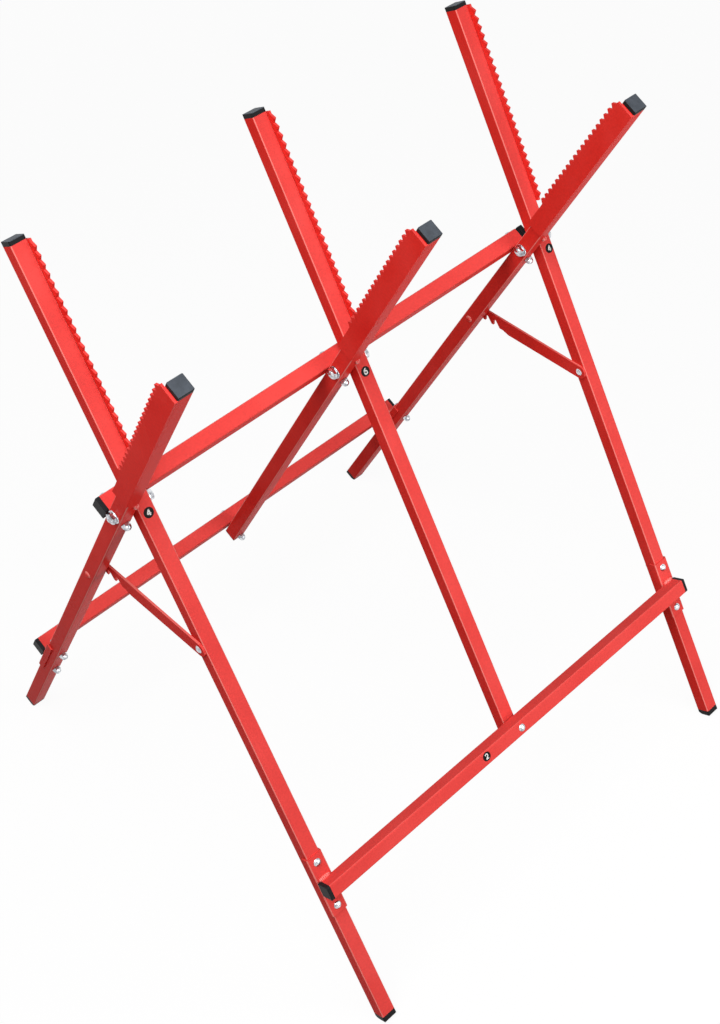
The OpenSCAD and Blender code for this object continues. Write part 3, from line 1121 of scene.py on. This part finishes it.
@dataclass
class PlateSeams(SubAssembly):
    """Weld run along the plain edge of each tooth plate, ground flush and coated."""

    low: float = 48.8
    high: float = 311.0
    rows: int = 181
    columns: int = 16
    centre: Pair = (9.0, 9.15)
    reach: Pair = (1.5, 0.95)
    wave: float = 0.05
    wave_mm: float = 9.0

    def run(self) -> Surface:
        """Ellipse carried up the leg along the groove between tube and plate.

        Its two reaches swell and shrink by a sine of the height, as a hand-held weld does.

        Returns:
            The closed run, in the leg's frame.
        """
        z = np.linspace(self.low, self.high, self.rows)
        swell = 1 + self.wave * np.sin(2 * np.pi * z / self.wave_mm)
        angle = whole_turn(self.columns)
        ring = np.stack([
            self.reach[0] * np.cos(angle), self.reach[1] * np.sin(angle), np.zeros(self.columns),
        ], axis=-1)
        path = np.column_stack([np.full(self.rows, self.centre[0]), np.full(self.rows, self.centre[1]), z])
        return swept(path, swell[:, None, None] * ring[None])

    def build(self) -> None:
        """Builds the runs of both frames."""
        for side in Side:
            seats = np.array([self.stand.leg(side, p) for p in ALL])
            name = f"{side.name.lower()}_plate_seams"
            self.place(name, self.run().at(seats), self.finishes.red, BODY_OF[side], Slot.RED)


@dataclass
class WeldBeads(SubAssembly):
    """Beads between rails and saddles, and plug welds on the rear arms, under the same coat."""

    length: float = 17.0
    leg: float = 4.0
    ripples: int = 7
    ripple: float = 0.14
    rows: int = 113
    arc: int = 12
    button_r: float = 3.6
    button_h: float = 4.0
    button_x: float = -4.4
    button_z: float = 31.0
    button_columns: int = 36
    button_steps: int = 8
    lobes: int = 3
    lobe: float = 0.08

    def bead(self) -> Surface:
        """Quarter-round bead along X in the corner of -Y and +Z.

        The radius at u from -1 to 1 is the weld's leg, times the fourth-power swell that closes the
        ends, times scallops that stand for the molten pools laid one on the other.

        Returns:
            The closed bead.
        """
        u = np.linspace(-1, 1, self.rows)
        swell = np.sqrt(np.clip(1 - u ** 4, 0, 1))
        pool = np.mod((u + 1) / 2 * self.ripples, 1)
        scallop = 1 - self.ripple * (1 - np.sin(np.pi * pool))
        radius = self.leg * swell * scallop
        angle = np.linspace(np.pi / 2, 0, self.arc)
        arc = np.stack([np.zeros(self.arc), -np.cos(angle), np.sin(angle)], axis=-1)
        ring = np.vstack([np.zeros((1, 3)), arc])
        path = np.stack([u * self.length / 2, np.zeros(self.rows), np.zeros(self.rows)], axis=-1)
        return swept(path, radius[:, None, None] * ring[None])

    def button(self) -> Surface:
        """Ball cap whose radius swells and shrinks in lobes round it, as a cooled drop of weld does.

        Returns:
            The closed cap.
        """
        columns = self.button_columns
        profile = np.array([(0.0, 0.0)] + dome(self.button_r, self.button_h, self.button_steps))
        wave = 1 - self.lobe * (1 + np.sin(self.lobes * whole_turn(columns))) / 2
        return polar(profile[:, :1] * wave[None], profile[:, 1:], columns)

    def build(self) -> None:
        """Builds the beads above and below the rail on each saddle, and the plug welds."""
        pooled = self.finishes.pooled
        half = self.stand.half
        face = -half - self.stand.saddle_t
        rail = -self.stand.rail_drop
        corners = [((0, face, rail + half), Facing.UPWARD), ((0, face, rail - half), Facing.OUTWARD)]
        for side in Side:
            word = side.name.lower()
            beads = self.bead().at(self.stand.seats(side, OUTER, corners))
            self.place(f"{word}_weld_beads", beads, pooled, BODY_OF[side], Slot.RED, (f"{word}_welds",))
        spots = [((self.button_x, half, self.button_z), Facing.INWARD)]
        drops = self.button().at(self.stand.seats(Side.REAR, ALL, spots))
        self.place("rear_plug_welds", drops, pooled, Body.REAR, Slot.RED, ("rear_weld_buttons",))


@dataclass
class NumberDiscs(SubAssembly):
    """Round printed discs with plain assembly numbers, on the front legs and the front rail."""

    radius: float = 6.3
    thick: float = 0.3
    edge: float = 0.12
    columns: int = 48
    stroke: float = 1.55
    ink: float = 0.08
    steps: int = 40
    swell: float = 1.2
    # Discs were stuck on by hand: each leg's X and distance below the pivot, and the rail's X and Z
    leg_spots: tuple[Pair, ...] = ((0.3, 14.2), (-0.2, 16.8), (2.3, 15.2))
    rail_spot: Pair = (-65.6, 2.2)
    # Numbers on the left, middle and right legs and on the rail
    digits: tuple[Digit, ...] = (Digit.FOUR, Digit.SIX, Digit.FOUR, Digit.TWO)

    def disc(self) -> Surface:
        """Turned disc with a broken upper edge, seated at Z = 0.

        Returns:
            The closed disc.
        """
        top = self.thick
        rim = self.radius
        edge = self.edge
        return turned([(0, 0), (rim, 0), (rim, top - edge), (rim - edge, top), (0, top)], self.columns)

    def line(self, start: Pair, end: Pair) -> Array:
        """Straight stroke: points evenly spread from start to end."""
        share = np.linspace(0, 1, self.steps)[:, None]
        return np.array(start) * (1 - share) + np.array(end) * share

    def curve(self, centre: Pair, reach: Pair, turn: Pair) -> Array:
        """Curved stroke: centre plus the reach times cosine and sine, between two angles in degrees."""
        angle = np.radians(np.linspace(turn[0], turn[1], self.steps))
        return np.array(centre) + np.stack([reach[0] * np.cos(angle), reach[1] * np.sin(angle)], axis=-1)

    def strokes(self, digit: Digit) -> list[Array]:
        """Centre lines of a digit's strokes, in the disc's plane, in millimetres before they swell.

        Args:
            digit: which number.

        Returns:
            One array of X and Y for each stroke.
        """
        shapes = {
            Digit.TWO: [
                self.curve((0, 1.2), (1.6, 1.6), (165, -35)),
                self.line((1.31, 0.28), (-1.7, -2.8)),
                self.line((-1.8, -2.8), (1.9, -2.8)),
            ],
            Digit.FOUR: [
                self.line((0.8, -3.0), (0.8, 3.0)),
                self.line((0.8, 3.0), (-2.0, -1.1)),
                self.line((-2.0, -1.1), (2.1, -1.1)),
            ],
            Digit.SIX: [
                self.curve((0, -1.1), (1.75, 1.75), (0, 360)),
                self.curve((1.3, -1.1), (3.05, 4.0), (180, 92)),
            ],
        }
        return shapes[digit]

    def ribbon(self, stroke: Array) -> Surface:
        """Flat ribbon along a stroke: a rectangle of stroke width and ink thickness carried along it.

        Args:
            stroke: X and Y along the middle of the stroke.

        Returns:
            The closed ribbon.
        """
        run = np.gradient(stroke, axis=0)
        run /= np.linalg.norm(run, axis=1, keepdims=True)
        side = np.stack([-run[:, 1], run[:, 0], np.zeros(len(run))], axis=-1) * self.stroke / 2
        rise = np.array([0, 0, self.ink])
        path = np.column_stack([stroke, np.full(len(stroke), self.thick)])
        rings = np.stack([side - rise, side + rise, -side + rise, -side - rise], axis=1)
        return swept(path, rings)

    def number(self, digit: Digit) -> Surface:
        """All the ribbons of a digit."""
        return Surface.joined([self.ribbon(s * self.swell) for s in self.strokes(digit)])

    def build(self) -> None:
        """Builds the discs and the digits on them."""
        legs = [self.stand.leg(Side.FRONT, p) for p in ALL + [Place.MIDDLE]]
        spots = [(x, -self.stand.half, -low) for x, low in self.leg_spots]
        rail_face = -3 * self.stand.half - self.stand.saddle_t
        rail_x, rail_z = self.rail_spot
        spots.append((rail_x, rail_face, rail_z - self.stand.rail_drop))
        seats = [self.stand.seat(leg, spot, Facing.OUTWARD) for leg, spot in zip(legs, spots)]
        discs = self.disc().at(np.array(seats))
        marks = Surface.joined([self.number(d).at(s[None]) for d, s in zip(self.digits, seats)])
        self.place("number_discs", discs, self.finishes.disc, Body.FRONT, Slot.BLACK)
        self.place("number_digits", marks, self.finishes.digit, Body.FRONT, Slot.BLACK)


@dataclass
class PhotoCamera:
    """Camera at the photograph's viewing angle, with angles in degrees and places in metres."""

    place: Point = (-0.95785, -1.09330, 1.93826)
    azimuth: float = 42.4463
    elevation: float = 43.0352
    roll: float = 2.4436
    lens: float = 57.024
    sensor: float = 36.0
    shift: Pair = (-0.01565, -0.09432)

    def axes(self) -> Array:
        """Columns of the camera's right, up and backward directions.

        Returns:
            Three by three numbers.
        """
        turn, drop, roll = (math.radians(v) for v in (self.azimuth, self.elevation, self.roll))
        ahead = np.array([
            math.sin(turn) * math.cos(drop), math.cos(turn) * math.cos(drop), -math.sin(drop),
        ])
        level = np.array([math.cos(turn), -math.sin(turn), 0])
        upright = np.cross(level, ahead)
        right = math.cos(roll) * level - math.sin(roll) * upright
        up = math.sin(roll) * level + math.cos(roll) * upright
        return np.stack([right, up, -ahead], axis=1)

    def build(self) -> None:
        """Makes the camera and sets it as the scene's."""
        lens = bpy.data.cameras.new("photo_camera")
        lens.lens = self.lens
        lens.sensor_width = self.sensor
        lens.shift_x, lens.shift_y = self.shift
        camera = add_object("photo_camera", lens)
        camera.matrix_world = Matrix(framed(self.axes(), self.place).tolist())
        bpy.context.scene.camera = camera
        LOG.info("camera at %s", self.place)


@dataclass(frozen=True)
class SoftLamp:
    """Square soft box that faces the stand.

    Attributes:
        name: the lamp's name.
        place: where it hangs, in metres.
        level: what a white card facing a small lamp of this power one metre away would render at.
        size: length of its side, in metres.
        aim: the point that it faces.
    """

    name: str
    place: Point
    level: float
    size: float
    aim: Point = (0.0, 0.0, 0.5)

    def build(self) -> None:
        """Makes the lamp; its power is its level times pi squared."""
        light = bpy.data.lights.new(self.name, "AREA")
        light.shape = "SQUARE"
        light.size = self.size
        light.energy = self.level * math.pi ** 2
        back = np.array(self.place) - np.array(self.aim)
        back /= np.linalg.norm(back)
        side = np.cross((0, 0, 1), back)
        side /= np.linalg.norm(side)
        axes = np.stack([side, np.cross(back, side), back], axis=1)
        lamp = add_object(self.name, light)
        lamp.matrix_world = Matrix(framed(axes, self.place).tolist())
        lamp.visible_camera = False
        LOG.info("%s at %s", self.name, self.place)


@dataclass
class Studio:
    """White floor, even surroundings, a soft lamp above the camera's side and a smaller one in front."""

    floor_half: float = 20.0
    floor_seen: str = "#FAFAFA"
    floor_bounce: str = "#959595"
    # Share of the floor's own glow near the stand, and the distances between which it becomes whole
    glow_share: float = 0.94
    fade: Pair = (1.5, 5.0)
    surround: float = 0.08
    lamps: tuple[SoftLamp, ...] = (
        SoftLamp("soft_box_above", (-1.1, -0.4, 2.65), level=6.7, size=2.0),
        SoftLamp("soft_box_front", (0.449, -1.441, 0.9), level=1.5, size=1.2),
    )

    @staticmethod
    def seen(tree: Tree) -> Socket:
        """Adds nodes that give 1 for camera, glossy and transmission rays, and 0 for other rays.

        Args:
            tree: node tree that the nodes go into.

        Returns:
            Socket with the value.
        """
        path = add_node(tree, "ShaderNodeLightPath")
        some = combined(tree, "MAXIMUM", path.outputs["Is Camera Ray"], path.outputs["Is Glossy Ray"])
        return combined(tree, "MAXIMUM", some, path.outputs["Is Transmission Ray"])

    def floor(self) -> None:
        """Makes the floor, which looks white, keeps a faint shadow of the stand and fades out far away."""
        material, tree = new_material("matt_white_studio_floor")
        seen = self.seen(tree)
        colour = blended(tree, seen, self.floor_bounce, self.floor_seen)
        matt = add_node(tree, "ShaderNodeBsdfDiffuse", links={"Color": colour})
        glow = add_node(tree, "ShaderNodeEmission", values={"Strength": 1.0})
        place = coordinate(tree, "Object")
        away = add_node(tree, "ShaderNodeVectorMath", {"operation": "LENGTH"}, links={"Vector": place})
        fade = mapped(tree, away.outputs["Value"], self.fade, (self.glow_share, 1.0))
        mixed = add_node(tree, "ShaderNodeMixShader", links={
            0: combined(tree, "MULTIPLY", seen, fade), 1: matt.outputs["BSDF"], 2: glow.outputs["Emission"],
        })
        show(tree, mixed.outputs["Shader"])
        reach = self.floor_half
        mesh = bpy.data.meshes.new("studio_floor")
        corners = [(-reach, -reach, 0), (reach, -reach, 0), (reach, reach, 0), (-reach, reach, 0)]
        mesh.from_pydata(corners, [], [(0, 1, 2, 3)])
        mesh.materials.append(material)
        floor = add_object("studio_floor", mesh)

    def surroundings(self) -> None:
        """Makes a world that looks white and lights the stand evenly and dimly."""
        world = bpy.data.worlds.new("studio_surround")
        world.use_nodes = True
        tree = world.node_tree
        tree.nodes.clear()
        level = mapped(tree, self.seen(tree), SHARE, (self.surround, 1.0))
        sky = add_node(tree, "ShaderNodeBackground", None, {"Color": linear(WHITE)}, {"Strength": level})
        add_node(tree, "ShaderNodeOutputWorld", links={"Surface": sky.outputs["Background"]})
        bpy.context.scene.world = world

    def build(self) -> None:
        """Makes floor, surroundings and lamps, and shows colours as written."""
        self.floor()
        self.surroundings()
        for lamp in self.lamps:
            lamp.build()
        bpy.context.scene.view_settings.view_transform = "Standard"


def main() -> None:
    """Builds the sub-assemblies in order, then the camera and the studio."""
    logging.basicConfig(level=logging.INFO, format="%(message)s")
    stand = StandFrame()
    finishes = Finishes()
    kinds = (
        PaintedSteel, PlasticEnds, RailFasteners, PivotHardware,
        BraceHardware, PlateSeams, WeldBeads, NumberDiscs,
    )
    for kind in kinds:
        kind(stand, finishes).build()
    PhotoCamera().build()
    Studio().build()


if __name__ == "__main__":
    main()
